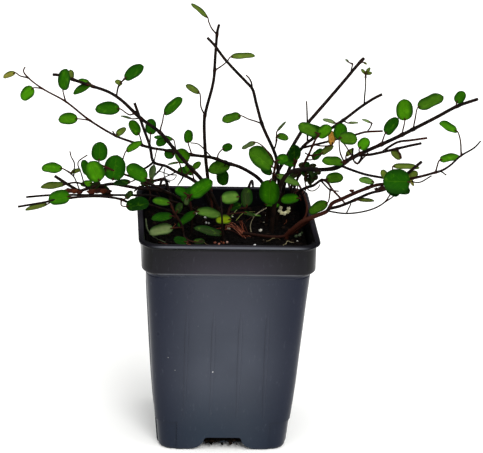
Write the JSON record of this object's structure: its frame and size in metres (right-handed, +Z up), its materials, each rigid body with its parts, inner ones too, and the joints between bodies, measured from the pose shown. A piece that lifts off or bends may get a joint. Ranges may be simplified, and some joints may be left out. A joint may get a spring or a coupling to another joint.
{
  "type": "potted wire vine",
  "caption": "Square tapered nursery pot filled with soil, holding a spreading vine of thin dark stems with small round leaves.",
  "frame": {"origin": "centre of the object's box on the surface the pot stands on, about under the pot's own middle", "axes": "+Z up out of the pot, +X to the right of the face seen in front, +Y away from that face"},
  "size_m": [0.2663, 0.1501, 0.2503],
  "materials": {
    "pot_plastic": "moulded blue-grey charcoal polypropylene, satin, with a slightly glossier lip edge",
    "potting_soil": "dark peat and bark mix with pale perlite grains and fibres",
    "leaf": "living round leaves, glossy green above, paler below, on thin stalks",
    "woody_stem": "thin dark red-brown to near black wiry stems, satin bark"
  },
  "bodies": {
    "root": {"nursery_pot": "pot_plastic", "soil": "potting_soil", "vine_long_left": "leaf", "vine_dark_left": "leaf", "vine_short_left": "woody_stem", "vine_tall": "woody_stem", "vine_cross_right": "woody_stem", "vine_right_upper": "woody_stem", "vine_right_second": "woody_stem", "vine_main_right": "leaf", "vine_low_right": "leaf", "vine_right_diagonal": "leaf", "vine_low_left_a": "leaf", "vine_low_left_b": "woody_stem", "vine_low_left_c": "leaf", "vine_leafy_left": "leaf", "shoot_right_a": "leaf", "shoot_right_b": "leaf", "shoot_mid_right": "leaf", "shoot_low_left": "leaf", "shoot_low_front": "leaf", "shoot_low_middle": "leaf", "trailer_back_left": "leaf", "trailer_back_middle": "leaf", "trailer_back_right": "leaf"}
  },
  "joints": []
}
